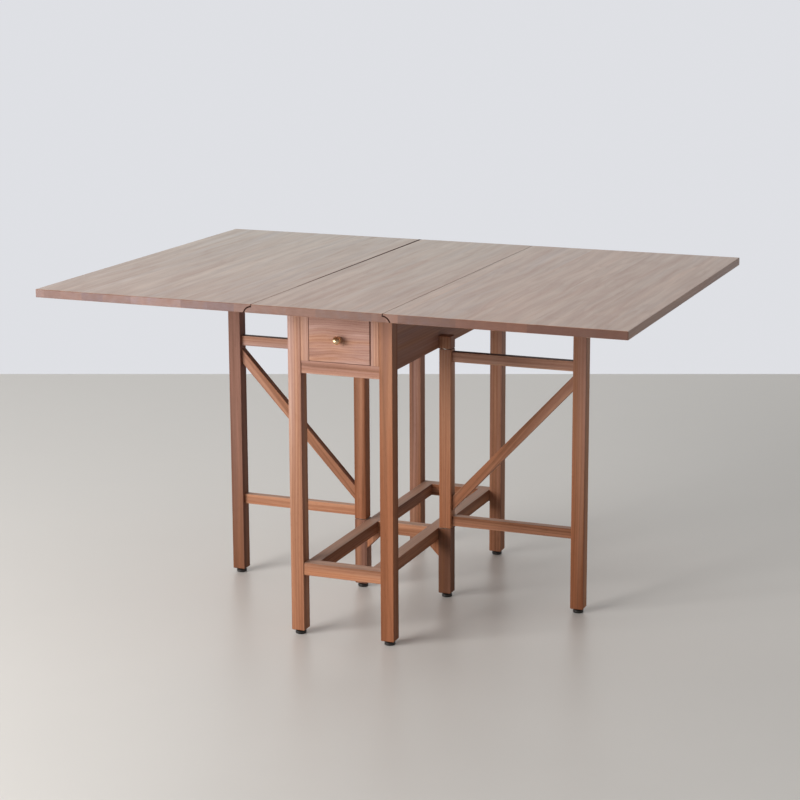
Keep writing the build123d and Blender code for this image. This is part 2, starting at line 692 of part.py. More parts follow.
def ball_knob():
    """Turned knob: base, neck and ball, screwed on from inside the drawer."""
    base = Cylinder(KNOB_BASE_DIAMETER / 2, KNOB_BASE_THICKNESS)
    base = fillet(base.edges().sort_by(Axis.Z)[-1], KNOB_BASE_THICKNESS / 2)
    knob = along_knob(base, KNOB_BASE_THICKNESS / 2)
    knob += along_knob(Cylinder(KNOB_NECK_DIAMETER / 2, KNOB_REACH), KNOB_REACH / 2)
    knob += along_knob(Sphere(KNOB_BALL_DIAMETER / 2), KNOB_REACH)
    return knob - knob_screw


right_side_of_drawer = right_drawer_side()


def drawer_front_board():
    """Front of the drawer, flush with the legs."""
    board = block(
        (-DRAWER_HALF, DRAWER_HALF),
        (DRAWER_FRONT_Y, DRAWER_FRONT_IN_Y),
        (DRAWER_FRONT_Z, DRAWER_FRONT_TOP),
    )
    face = board.faces().sort_by(Axis.Y)[0]
    board = fillet(face.edges(), EDGE_RADIUS)
    sides = [right_side_of_drawer, on_left(right_side_of_drawer)]
    return board - sides - [drawer_bottom, knob_screw]


# Every piece, by name
right_front = right_front_leg()
right_back = right_back_leg()
pieces = {
    "centre_top": centre_board(),
    "drawer_rail": drawer_rail,
    "top_rail": top_rail,
    "back_apron": back_apron,
    "stretcher_front": front_stretcher,
    "stretcher_back": back_stretcher,
    "stretcher_middle": middle_stretcher,
    "corner_blocks": [right_corner, on_left(right_corner)],
    "drawer_runners": [right_runner, on_left(right_runner)],
    "drawer_kickers": [right_kicker, on_left(right_kicker)],
    "leg_glides": frame_glides_right + [on_left(one) for one in frame_glides_right],
    "frame_screws": frame_screws_right + [on_left(one) for one in frame_screws_right],
    "hinge_plates": fixed_plates_right + [on_left(one) for one in fixed_plates_right],
    "hinge_pins": hinge_pins_right + [on_left(one) for one in hinge_pins_right],
    "hinge_screws": fixed_screws_right + [on_left(one) for one in fixed_screws_right],
}
drawer_pieces = {
    "drawer_front": drawer_front_board(),
    "drawer_side_right": right_side_of_drawer,
    "drawer_side_left": on_left(right_side_of_drawer),
    "drawer_back": drawer_back,
    "drawer_bottom": drawer_bottom,
    "knob": ball_knob(),
    "knob_screw": knob_screw,
}
both_sides = {
    "leg_front": right_front,
    "leg_back": right_back,
    "side_apron": right_apron,
    "stile": right_front_stile(),
    "stretcher": right_stretcher,
    "stub_leg": right_stub_leg(),
    "pivot_block": right_pivot_block(),
    "leaf": right_leaf_board(),
    "leaf_hinge_plates": leaf_plates_right,
    "leaf_hinge_screws": leaf_screws_right,
    "gate_stop": right_gate_stop(),
    "gate_post": gate_turning_post(),
    "gate_leg": gate_outer_leg(),
    "gate_top_rail": gate_top_rail,
    "gate_lower_rail": gate_lower_rail,
    "gate_brace": gate_brace,
    "gate_pins": gate_pins,
    "gate_washers": gate_washers,
    "gate_glide": gate_glide,
}


def as_list(piece):
    """A piece as a list of solids, whether it is one solid or a group."""
    return piece if isinstance(piece, list) else [piece]


for name, piece in both_sides.items():
    pieces[name + "_right"] = piece
    pieces[name + "_left"] = [on_left(one) for one in as_list(piece)]
for name, piece in drawer_pieces.items():
    pieces[name] = Pos(DRAWER_X, 0, 0) * piece

os.makedirs("parts", exist_ok=True)
for name, piece in pieces.items():
    solids = [solid for one in as_list(piece) for solid in one.solids()]
    shape = solids[0] if len(solids) == 1 else Compound(solids)
    export_step(shape, f"parts/{name}.step")
print(len(pieces), "pieces written")
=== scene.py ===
"""Looks of a walnut gateleg table: its wood, brass, steel and plastic, with floor, light and camera.

Every length is in metres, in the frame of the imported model: X across the leaves, Y along the
joints, Z up. Grain space is a stick's own space, with Z along its grain. The scale of a noise is in
features per metre. A ramp is a row of stops, each a position with a grey or a linear colour.
"""

import json
import math

import bpy
from mathutils import Euler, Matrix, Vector

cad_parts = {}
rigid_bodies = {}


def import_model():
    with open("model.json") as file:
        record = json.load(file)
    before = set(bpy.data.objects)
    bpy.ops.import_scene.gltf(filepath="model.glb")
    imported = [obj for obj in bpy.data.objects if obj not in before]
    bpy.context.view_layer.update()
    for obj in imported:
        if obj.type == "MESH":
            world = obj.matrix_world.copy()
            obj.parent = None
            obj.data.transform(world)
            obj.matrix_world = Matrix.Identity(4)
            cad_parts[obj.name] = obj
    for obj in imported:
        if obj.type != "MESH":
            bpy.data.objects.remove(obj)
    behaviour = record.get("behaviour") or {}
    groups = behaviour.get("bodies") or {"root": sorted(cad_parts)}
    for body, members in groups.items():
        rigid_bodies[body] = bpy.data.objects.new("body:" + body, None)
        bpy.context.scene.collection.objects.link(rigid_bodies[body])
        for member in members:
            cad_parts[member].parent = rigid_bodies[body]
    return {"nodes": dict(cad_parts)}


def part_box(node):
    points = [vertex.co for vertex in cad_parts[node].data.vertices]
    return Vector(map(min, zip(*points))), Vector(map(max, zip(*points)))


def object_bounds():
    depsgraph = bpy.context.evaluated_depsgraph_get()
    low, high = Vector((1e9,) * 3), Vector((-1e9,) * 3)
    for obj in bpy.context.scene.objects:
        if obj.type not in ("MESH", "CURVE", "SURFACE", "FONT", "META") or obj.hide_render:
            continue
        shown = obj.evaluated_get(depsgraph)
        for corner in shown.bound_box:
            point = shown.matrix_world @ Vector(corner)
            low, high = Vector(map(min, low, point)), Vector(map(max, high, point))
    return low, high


for leftover in list(bpy.data.objects):
    bpy.data.objects.remove(leftover)

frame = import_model()
cad_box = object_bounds()

# Directions of the frame, and the top's halves: it reaches as far as the whole table
RIGHT = (1.0, 0.0, 0.0)
BACK = (0.0, 1.0, 0.0)
UP = (0.0, 0.0, 1.0)
TOP_HALF_WIDTH, TOP_HALF_DEPTH = cad_box[1][:2]

# Camera, from a fit to the photo: its focal length and its optical centre are in pixels
IMAGE_SIDE = 800
IMAGE_MIDDLE = IMAGE_SIDE / 2
SENSOR_MM = 36.0
FOCAL_PIXELS = 2038.9
OPTICAL_CENTRE = (443.7, 344.8)
CAMERA_PLACE = (1.6962, -4.2039, 1.5114)
CAMERA_YAW = math.radians(20.83)
CAMERA_PITCH = math.radians(11.565)

# Floor: round, cut off behind the table, and a little darker in clouds
FLOOR_RADIUS = 4.1
FLOOR_SIDES = 96
FLOOR_BACK = 2.35
FLOOR_COLOUR = (0.65, 0.635, 0.62)
FLOOR_DARKER = 0.96
FLOOR_CLOUDS = (2.0, 2.0, 2.0)
FLOOR_CLOUD_EDGES = (0.3, 0.7)
FLOOR_ROUGHNESS = 0.36
FLOOR_ROUGHNESS_SPREAD = 0.1
FLOOR_GLOSS = 0.35

# Room: glow of the wall and of the room in front of it from left to right, glow of the ceiling, how
# the wall and the ceiling begin, and how the plain wall that is seen gives way to its glow higher up
WALL_COLOUR = (0.735, 0.745, 0.78)
WALL_GLOW = ((0.20, 1.35), (0.35, 1.12), (0.50, 0.80), (0.75, 0.42))
ROOM_GLOW = ((0.60, 0.13), (0.85, 0.30))
CEILING_GLOW = (0.40, 0.40, 0.40)
GLOW_TINT = (1.0, 0.99, 0.965)
WALL_START = ((0.05, 0.0), (0.35, 1.0))
CEILING_START = ((0.45, 0.0), (0.85, 1.0))
PLAIN_WALL = ((0.0, 1.0), (0.08, 0.0))

# Lamps at the front left: the key lights the table, and the sheen lamp only shines on it, from below
# the level of the top, so that the top mirrors neither of them
LAMP_AIM = (0.0, 0.0, 0.45)
LAMP_COLOUR = (1.0, 0.97, 0.93)
KEY_PLACE = (-2.4, -3.4, 1.5)
KEY_SIZE = (2.6, 2.2)
KEY_POWER = 220.0
SHEEN_PLACE = (-2.3, -3.26, 0.40)
SHEEN_SIZE = (2.6, 0.6)
SHEEN_POWER = 90.0

# The value in the middle of a noise, of a range of shades and of a stored tone
MIDDLE = 0.5

# Walnut from its darkest streak to its palest
WALNUT = (
    (0.00, (0.075, 0.029, 0.016)),
    (0.30, (0.190, 0.082, 0.045)),
    (0.55, (0.330, 0.157, 0.094)),
    (0.80, (0.480, 0.263, 0.169)),
    (1.00, (0.640, 0.402, 0.276)),
)
TOP_WALNUT = (
    (0.00, (0.220, 0.075, 0.028)),
    (0.50, (0.308, 0.161, 0.102)),
    (1.00, (0.450, 0.275, 0.190)),
)

# Tints that walnut is multiplied by where it is warm, where it is cool, and on the ends of sticks
RUSSET = (1.02, 0.85, 0.71)
MAUVE = (0.92, 1.04, 1.36)
END_GRAIN = (0.85, 0.80, 0.80)

# How squarely a face has to look in a direction to count as an end, as facing that way, or as a side
END_FACING = ((0.75, 0.0), (0.95, 1.0))
FACING = ((0.60, 0.0), (0.90, 1.0))
SIDE_FACING = ((0.7, 0.0), (0.9, 1.0))

# Figure of the wood in grain space: width of a growth ring, and the dark line at the end of each ring
RING_WIDTH = 0.0060
RING_LINE = ((0.0, 0.0), (0.70, 0.0), (0.88, 1.0), (1.0, 0.0))
RING_UNEVEN = 2.6
RING_UNEVEN_SCALE = (50.0, 50.0, 0.7)
SWAY_SCALE = (7.0, 7.0, 1.1)
BAND_SCALE = (55.0, 55.0, 1.0)
HUE_SCALE = (48.0, 48.0, 0.8)
HUE_SHIFT = (3.7, 1.9, 0.4)
FIBRE_SCALE = (520.0, 520.0, 7.0)
PORE_SCALE = (1500.0, 1500.0, 65.0)
PORE_EDGE = ((0.60, 0.0), (0.72, 1.0))

# How strong each part of the figure is
BAND_STRENGTH = 0.90
RING_STRENGTH = 0.04
LINE_STRENGTH = 0.06
FIBRE_STRENGTH = 0.22
PORE_STRENGTH = 0.12
HUE_STRENGTH = 3.2

# Relief of the wood: height of the fibres against the depth of the pores, strength and depth
FIBRE_RELIEF = 0.5
WOOD_RELIEF = (0.25, 0.0002)

# Steps that make one chance into a place in the noise, and one name or number into a chance
SEED_STEPS = (9.0, 5.0, 31.0)
GOLDEN_SHARE = 0.618034

# Pith of a stick: nearest place beside it, how much further it may lie, and steps of chance for its way
PITH_NEAR = 0.05
PITH_RANGE = 0.10
PITH_STEP = 3.7
PITH_TURN_STEP = 7.3

# How many times shorter a figure is along the grain than the plain one, and how far it sways
PLAIN_FIGURE = (1.0, 0.022)
TOP_FIGURE = (3.0, 0.030)
STICK_FIGURES = {"drawer_front": (5.0, 0.040), "drawer_rail": (2.0, 0.030)}

# Contrast of the figure of single sticks against the plain one
STICK_CONTRASTS = {
    "drawer_front": 0.8,
    "drawer_rail": 0.9,
    "stub_leg_right": 0.5,
    "leg_front_right": 0.7,
    "gate_leg_left": 0.65,
    "gate_leg_right": 0.75,
    "gate_post_right": 0.8,
    "stretcher_front": 0.85,
    "side_apron_left": 0.5,
    "side_apron_right": 0.5,
}

# Shade and warmth of single sticks against the mean
PLAIN_TONE = (0.0, 0.0)
STICK_TONES = {
    "leg_front_left": (0.16, -0.1),
    "leg_front_right": (-0.04, 1.0),
    "stretcher_front": (0.16, -0.15),
    "drawer_rail": (0.05, -0.3),
    "drawer_front": (0.12, -0.45),
    "stile_left": (0.15, -0.1),
    "stile_right": (0.03, 0.35),
    "gate_leg_left": (-0.13, -0.9),
    "gate_leg_right": (0.02, 0.1),
    "gate_post_left": (-0.10, 0.6),
    "gate_post_right": (0.06, 0.3),
    "gate_lower_rail_left": (0.12, 0.2),
    "gate_lower_rail_right": (0.02, -0.3),
    "gate_top_rail_left": (0.10, -0.5),
    "gate_top_rail_right": (0.26, 0.2),
    "gate_brace_left": (0.04, 0.0),
    "gate_brace_right": (0.00, 0.1),
    "stub_leg_left": (-0.05, -1.0),
    "leg_back_left": (0.06, -0.3),
    "leg_back_right": (0.07, -0.2),
    "stretcher_middle": (0.19, 0.1),
    "corner_blocks": (0.10, 0.1),
    "stub_leg_right": (-0.17, -0.9),
    "pivot_block_right": (0.05, 0.3),
}

# Painted light on the right face of single sticks: how much paler it is than their other faces, and
# painted shade, darker, where the value is negative
PAINTED_RIGHT_FACE_LIGHT = {
    "gate_leg_right": 0.18,
    "gate_post_left": 0.20,
    "gate_post_right": 0.17,
    "stub_leg_left": 0.16,
    "leg_front_left": -0.07,
    "leg_back_left": 0.04,
    "leg_back_right": 0.05,
    "stretcher_left": -0.06,
}

# Painted light and sheen on the sticks: paler and cooler higher up, darker and warmer lower down: the
# height of the mean, and the change per metre
PAINTED_LIGHT_MIDDLE = 0.36
PAINTED_LIGHT_SHADE = 0.24
PAINTED_SHEEN_WARMTH = -1.8

# How many times as much as the others single sticks cool higher up, with painted sheen
STICK_PAINTED_SHEEN = {"leg_front_left": 0.7, "leg_front_right": 2.2, "gate_leg_left": 1.8}

# Colour and share of it on upward faces: painted sheen on sticks that end below a height, and painted
# shade close under the leaves
PAINTED_SHEEN_TOPS = ((0.80, 0.70, 0.62), 0.20)
PAINTED_SHEEN_TOPS_BELOW = 0.30
PAINTED_SHADE_TOPS = ((0.020, 0.010, 0.008), 0.75)
PAINTED_SHADE_TOPS_STICKS = ("gate_top_rail_left", "gate_top_rail_right")

# Surface of the sticks
STICK_ROUGHNESS = 0.50
STICK_ROUGHNESS_SPREAD = 0.16
STICK_GLOSS = 0.08

# Staves of the top from left to right: left edge in metres, shade and warmth against the mean
STAVES = (
    (-0.660, 0.02, 0.1),
    (-0.640, -0.05, 0.0),
    (-0.600, 0.00, 0.1),
    (-0.547, -0.08, -0.3),
    (-0.500, -0.01, 0.0),
    (-0.430, 0.09, 0.1),
    (-0.310, -0.03, -0.2),
    (-0.250, -0.07, -0.4),
    (-0.190, 0.02, 0.2),
    (-0.154, 0.02, 0.2),
    (-0.070, 0.02, 0.6),
    (-0.005, -0.03, 0.0),
    (0.120, 0.04, 0.2),
    (0.154, 0.22, 0.3),
    (0.180, -0.03, -0.1),
    (0.300, 0.04, 0.8),
    (0.345, 0.07, 0.8),
    (0.410, 0.11, 0.8),
    (0.450, -0.06, 0.5),
    (0.540, -0.03, 0.2),
    (0.600, -0.02, 0.2),
)

# A stave's warmth lies from -1 to 1, and is stored as a share of this range about the middle
WARMTH_RANGE = 2.0

# Pith of a stave: how far to the sides it may lie, and its least and greatest distance below
STAVE_PITH_SIDE = 0.16
STAVE_PITH_DEPTH = (0.60, 0.70)

# Strength of the figure, of the staves' shades and of their warmths, on the faces and on the end grain
TOP_CONTRAST = (1.0, 0.60)
STAVE_SHADE = (0.45, 2.80)
STAVE_WARMTH = (0.6, 2.5)

# Strength of the figure's own warmth on the top
TOP_HUE = 0.9

# Tint of the top's end grain from left to right, with painted sheen that is palest and greyest on the
# left, and the painted sheen that the top has towards the back, most of all on the left, where it is
# paler and greyer
TOP_END_GRAIN_AND_PAINTED_SHEEN = (
    (0.20, (0.560, 0.575, 0.775)),
    (0.50, (0.525, 0.510, 0.620)),
    (0.80, (0.355, 0.228, 0.178)),
)
PAINTED_BACK_SHEEN = (1.0, 1.33, 1.50)
PAINTED_BACK_SHEEN_ACROSS = ((0.20, 1.0), (0.55, 0.8), (0.66, 0.1))

# Surface of the top: paler wood is smoother, edges and seams are rougher, and upright faces are flatter
TOP_ROUGHNESS = 0.34
TOP_SHADE_ROUGHNESS = -0.10
TOP_SIDE_ROUGHNESS = 0.48
TOP_END_ROUGHNESS = 0.60
SEAM_ROUGHNESS = 1.0
TOP_RELIEF = ((0.3, 1.0), (0.7, 0.15))
TOP_GLOSS = 0.9

# Painted shade in the seams of the rule joints: its colour, middle of the gap, pivot and radius of its
# curve, how dark each line is from front to back, its half width at the front and at the back, and how
# it ends at its sides
PAINTED_SEAM_SHADE = (0.050, 0.010, 0.002)
SEAM_X = 0.1468
PIVOT_X = 0.146
PIVOT_Z = 0.7275
SEAM_RADIUS = 0.0178
LEFT_PAINTED_SEAM_SHADE = ((0.000, 1.0), (0.004, 1.0), (0.012, 0.1), (0.15, 0.15), (0.40, 1.0), (1.0, 1.0))
RIGHT_PAINTED_SEAM_SHADE = ((0.000, 1.0), (0.004, 1.0), (0.012, 0.1), (1.0, 0.2))
SEAM_HALF_WIDTH = (0.0012, 0.0038)
SEAM_EDGE = ((0.75, 1.0), (1.0, 0.0))

# The line reaches this far below the top of the curve, and the curve's own edge is in centimetres
SEAM_OVERLAP = 0.001
CURVE_EDGE = ((0.13, 1.0), (0.19, 0.0))
CENTIMETRES = 100.0

# Brass from thick patina to bare metal
BRASS = ((0.35, (0.58, 0.39, 0.21)), (0.65, (0.90, 0.66, 0.43)))
BRASS_PATINA = (260.0, 260.0, 260.0)
BRASS_ROUGHNESS = 0.28
BRASS_ROUGHNESS_SPREAD = -0.25

# Plated steel from dull to bright, with its rubbing marks
HINGE_STEEL = ((0.3, (0.42, 0.41, 0.39)), (0.7, (0.62, 0.60, 0.57)))
HINGE_ROUGHNESS = 0.38
SCREW_STEEL = ((0.3, (0.34, 0.33, 0.31)), (0.7, (0.55, 0.54, 0.50)))
SCREW_ROUGHNESS = 0.34
STEEL_MARKS = (90.0, 1400.0, 1400.0)
STEEL_ROUGHNESS_SPREAD = 0.25

# Black plastic with its speckle, and the strength and depth of its relief
PLASTIC = ((0.3, (0.008, 0.007, 0.007)), (0.7, (0.022, 0.020, 0.019)))
PLASTIC_SPECKLE = (2200.0, 2200.0, 2200.0)
PLASTIC_ROUGHNESS = 0.32
PLASTIC_ROUGHNESS_SPREAD = 0.2
PLASTIC_RELIEF = (0.2, 0.0001)

# Pale wood of the drawer box: bands, fibres and how much they show, and its relief
PALE_WOOD = ((0.25, (0.46, 0.31, 0.18)), (0.75, (0.68, 0.51, 0.33)))
PALE_BANDS = (60.0, 60.0, 1.5)
PALE_FIBRES = (700.0, 700.0, 12.0)
PALE_FIBRE_STRENGTH = 0.4
PALE_ROUGHNESS = 0.55
PALE_ROUGHNESS_SPREAD = 0.15
PALE_RELIEF = (0.2, 0.0002)

# Wooden nodes by the direction of their grain, and those that come in a left and a right one
SIDES = ("left", "right")
ALONG_X = ["back_apron", "drawer_rail", "top_rail", "drawer_front"]
ALONG_X += ["stretcher_front", "stretcher_middle", "stretcher_back"]
ALONG_X_PAIRS = ("gate_top_rail", "gate_lower_rail")
ALONG_Y_PAIRS = ("side_apron", "stretcher", "gate_stop")
ALONG_Z = ["corner_blocks"]
ALONG_Z_PAIRS = ("leg_front", "leg_back", "stile", "stub_leg", "pivot_block", "gate_post", "gate_leg")


class Nodes:
    """Short calls that add nodes to one tree and join them."""

    def __init__(self, tree):
        self.tree = tree

    def feed(self, socket, value):
        """Links another node's output to a socket, or sets the socket to a plain value."""
        if isinstance(value, bpy.types.NodeSocket):
            self.tree.links.new(value, socket)
        else:
            socket.default_value = value

    def add(self, kind, inputs, **settings):
        """A new node with its settings and its inputs."""
        node = self.tree.nodes.new("ShaderNode" + kind)
        for name, value in settings.items():
            setattr(node, name, value)
        for key, value in inputs.items():
            self.feed(node.inputs[key], value)
        return node

    def math(self, operation, *values):
        return self.add("Math", dict(enumerate(values)), operation=operation).outputs[0]

    def vector(self, operation, *values):
        return self.add("VectorMath", dict(enumerate(values)), operation=operation).outputs[0]

    def length(self, vector):
        return self.add("VectorMath", {0: vector}, operation="LENGTH").outputs["Value"]

    def dot(self, first, second):
        node = self.add("VectorMath", {0: first, 1: second}, operation="DOT_PRODUCT")
        return node.outputs["Value"]

    def join(self, *parts):
        """A vector from up to three parts, and 0 for those that are left out."""
        return self.add("CombineXYZ", dict(enumerate(parts))).outputs[0]

    def split(self, vector):
        """The three parts of a vector."""
        return tuple(self.add("SeparateXYZ", {0: vector}).outputs)

    def spot(self):
        """Where a point of the surface lies, in the frame."""
        return self.add("TexCoord", {}).outputs["Object"]

    def facing(self, direction):
        """How squarely the surface looks in a direction of the frame, from -1 to 1."""
        return self.dot(self.add("TexCoord", {}).outputs["Normal"], direction)

    def noise(self, place, scale, detail=2.0, roughness=0.5):
        """Noise over a place, as (value, colour)."""
        scaled = self.vector("MULTIPLY", place, scale)
        inputs = {"Vector": scaled, "Scale": 1.0, "Detail": detail, "Roughness": roughness}
        node = self.add("TexNoise", inputs)
        return node.outputs[0], node.outputs[1]

    def ramp(self, value, stops, interpolation="LINEAR"):
        """The colour of a ramp at a value."""
        node = self.add("ValToRGB", {0: value})
        scale = node.color_ramp
        scale.interpolation = interpolation
        first, last = scale.elements
        first.position, last.position = stops[0][0], stops[-1][0]
        first.color, last.color = (*stops[0][1], 1.0), (*stops[-1][1], 1.0)
        for position, colour in stops[1:-1]:
            scale.elements.new(position).color = (*colour, 1.0)
        return node.outputs[0]

    def grey_ramp(self, value, stops):
        """The grey of a ramp at a value."""
        return self.ramp(value, [(position, (grey,) * 3) for position, grey in stops])

    def mix(self, factor, first, second, blend="MIX"):
        """Two colours mixed by a factor, which counts from 0 to 1. The second may be a plain colour."""
        if isinstance(second, tuple):
            second = (*second, 1.0)
        node = self.add("Mix", {0: factor, 6: first, 7: second}, data_type="RGBA", blend_type=blend)
        return node.outputs[2]

    def tint(self, factor, colour, tint):
        """A colour multiplied by a tint where the factor is 1, and as it was where the factor is 0."""
        return self.mix(factor, colour, tint, "MULTIPLY")

    def spread(self, value, amount):
        """A value about the middle, as an amount about 0."""
        return self.math("MULTIPLY", self.math("SUBTRACT", value, MIDDLE), amount)

    def share(self, value, half):
        """A value from -half to half, as a share from 0 to 1."""
        return self.math("DIVIDE", self.math("ADD", value, half), 2 * half)

    def between(self, factor, first, second):
        """The first number where the factor is 0, and the second where it is 1."""
        return self.math("MULTIPLY_ADD", factor, second - first, first)


def new_material(name):
    """(material, its nodes, its Principled shader) with nothing linked yet."""
    material = bpy.data.materials.new(name)
    material.use_nodes = True
    shader = material.node_tree.nodes["Principled BSDF"]
    return material, Nodes(material.node_tree), shader


def roughen(n, shader, value, roughness, amount):
    """A roughness that varies with a value."""
    n.feed(shader.inputs["Roughness"], n.math("ADD", roughness, n.spread(value, amount)))


def emboss(n, shader, height, strength, depth):
    """A fine relief."""
    bump = n.add("Bump", {"Strength": strength, "Distance": depth, "Height": height})
    n.feed(shader.inputs["Normal"], bump.outputs[0])


def grain_group():
    """Walnut figure in grain space: growth rings round a pith, broad bands, fibres and pores."""
    tree = bpy.data.node_groups.new("walnut_grain", "ShaderNodeTree")
    for name in ("Place", "Seed", "Pith", "Sway"):
        tree.interface.new_socket(name, in_out="INPUT", socket_type="NodeSocketVector")
    for name in ("Shade", "Warmth", "Fibre", "Pores"):
        tree.interface.new_socket(name, in_out="OUTPUT", socket_type="NodeSocketFloat")
    n = Nodes(tree)
    given = tree.nodes.new("NodeGroupInput")
    result = tree.nodes.new("NodeGroupOutput")
    place, seed, pith = given.outputs["Place"], given.outputs["Seed"], given.outputs["Pith"]

    drift = n.noise(n.vector("ADD", place, seed), SWAY_SCALE)[1]
    sway = n.vector("SUBTRACT", drift, (MIDDLE, MIDDLE, MIDDLE))
    bent = n.vector("ADD", place, n.vector("MULTIPLY", sway, given.outputs["Sway"]))
    here = n.vector("ADD", bent, seed)
    from_pith = n.vector("MULTIPLY", n.vector("SUBTRACT", bent, pith), (1.0, 1.0, 0.0))
    uneven = n.noise(here, RING_UNEVEN_SCALE)[0]
    turns = n.math("DIVIDE", n.length(from_pith), RING_WIDTH)
    turns = n.math("ADD", turns, n.spread(uneven, RING_UNEVEN))
    wave = n.math("SINE", n.math("MULTIPLY", turns, 2 * math.pi))
    line = n.grey_ramp(n.math("FRACT", turns), RING_LINE)

    band = n.noise(here, BAND_SCALE, detail=3.0)[0]
    hue = n.noise(n.vector("ADD", here, HUE_SHIFT), HUE_SCALE)[0]
    fibre = n.noise(here, FIBRE_SCALE, detail=3.0, roughness=0.6)[0]
    pores = n.grey_ramp(n.noise(here, PORE_SCALE, detail=1.0)[0], PORE_EDGE)

    shade = n.math("ADD", n.spread(band, BAND_STRENGTH), n.math("MULTIPLY", wave, RING_STRENGTH))
    shade = n.math("SUBTRACT", shade, n.math("MULTIPLY", line, LINE_STRENGTH))
    shade = n.math("ADD", shade, n.spread(fibre, FIBRE_STRENGTH))
    shade = n.math("SUBTRACT", shade, n.math("MULTIPLY", pores, PORE_STRENGTH))
    n.feed(result.inputs["Shade"], shade)
    n.feed(result.inputs["Warmth"], n.spread(hue, HUE_STRENGTH))
    n.feed(result.inputs["Fibre"], fibre)
    n.feed(result.inputs["Pores"], pores)
    return tree


GRAIN = grain_group()


def add_grain(n, place, figure, seed, pith):
    """The walnut figure at a place in grain space."""
    shorter, sway = figure
    shortened = n.vector("MULTIPLY", place, (1.0, 1.0, shorter))
    inputs = {"Place": shortened, "Seed": seed, "Pith": pith, "Sway": (sway, sway, 0.0)}
    return n.add("Group", inputs, node_tree=GRAIN)


def walnut_colour(n, shades, shade, warmth):
    """Walnut of a shade from 0 to 1, russet where warmth is near 1 and mauve where it is near -1."""
    colour = n.tint(warmth, n.ramp(shade, shades), RUSSET)
    return n.tint(n.math("MULTIPLY", warmth, -1.0), colour, MAUVE)


def end_mask(n, along):
    """1 on faces across the grain, 0 on faces along it."""
    return n.grey_ramp(n.math("ABSOLUTE", n.facing(along)), END_FACING)


def wood_relief(n, shader, grain, share=1.0):
    """Fine relief of fibres and pores."""
    relief = n.math("SUBTRACT", n.spread(grain.outputs["Fibre"], FIBRE_RELIEF), grain.outputs["Pores"])
    emboss(n, shader, n.math("MULTIPLY", relief, share), *WOOD_RELIEF)


def seed_of(name):
    """A steady pseudo-random number from 0 to 1 for a name."""
    total = sum((place + 1) * ord(letter) for place, letter in enumerate(name))
    return total * GOLDEN_SHARE % 1.0


def pith_of(seed):
    """Where a stick's pith lies in grain space, somewhere beside the stick."""
    angle = 2 * math.pi * (seed * PITH_TURN_STEP % 1.0)
    reach = PITH_NEAR + PITH_RANGE * (seed * PITH_STEP % 1.0)
    return (reach * math.cos(angle), reach * math.sin(angle), 0.0)


def turn_to_grain(along):
    """The turn that brings a direction of the frame to grain space's Z."""
    return Vector(along).rotation_difference(Vector(UP)).to_euler()


def stick_wood(node, along):
    """Walnut for one stick, with its own figure and its grain along its length."""
    material, n, shader = new_material("walnut_" + node)
    low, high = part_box(node)
    turn = turn_to_grain(along)
    shift = -((low + high) / 2)
    shift.rotate(turn)
    spot = n.spot()
    place = n.add("Mapping", {"Vector": spot, "Rotation": turn, "Location": shift}).outputs[0]
    chance = seed_of(node)
    seed = tuple(chance * step for step in SEED_STEPS)
    grain = add_grain(n, place, STICK_FIGURES.get(node, PLAIN_FIGURE), seed, pith_of(chance))

    lift, warm = STICK_TONES.get(node, PLAIN_TONE)
    contrast = STICK_CONTRASTS.get(node, 1.0)
    # Painted light and sheen: paler and cooler higher up
    height = n.math("SUBTRACT", n.split(spot)[2], PAINTED_LIGHT_MIDDLE)
    shade = n.math("MULTIPLY_ADD", grain.outputs["Shade"], contrast, MIDDLE + lift)
    shade = n.math("MULTIPLY_ADD", height, PAINTED_LIGHT_SHADE, shade)
    # Painted light on the right faces of some sticks, painted shade where the value is negative
    if node in PAINTED_RIGHT_FACE_LIGHT:
        rightward = n.grey_ramp(n.facing(RIGHT), FACING)
        shade = n.math("MULTIPLY_ADD", rightward, PAINTED_RIGHT_FACE_LIGHT[node], shade)
    painted_cooling = PAINTED_SHEEN_WARMTH * STICK_PAINTED_SHEEN.get(node, 1.0)
    warmth = n.math("MULTIPLY_ADD", height, painted_cooling, n.math("ADD", grain.outputs["Warmth"], warm))
    colour = n.tint(end_mask(n, along), walnut_colour(n, WALNUT, shade, warmth), END_GRAIN)
    # Painted sheen on upward faces of low sticks, painted shade on those of the gate top rails
    if high.z < PAINTED_SHEEN_TOPS_BELOW or node in PAINTED_SHADE_TOPS_STICKS:
        painted_sheen_and_shade, share = PAINTED_SHADE_TOPS if node in PAINTED_SHADE_TOPS_STICKS else PAINTED_SHEEN_TOPS
        upward = n.grey_ramp(n.facing(UP), FACING)
        colour = n.mix(n.math("MULTIPLY", upward, share), colour, painted_sheen_and_shade)
    n.feed(shader.inputs["Base Color"], colour)
    roughen(n, shader, grain.outputs["Fibre"], STICK_ROUGHNESS, STICK_ROUGHNESS_SPREAD)
    wood_relief(n, shader, grain)
    shader.inputs["Specular IOR Level"].default_value = STICK_GLOSS
    return material


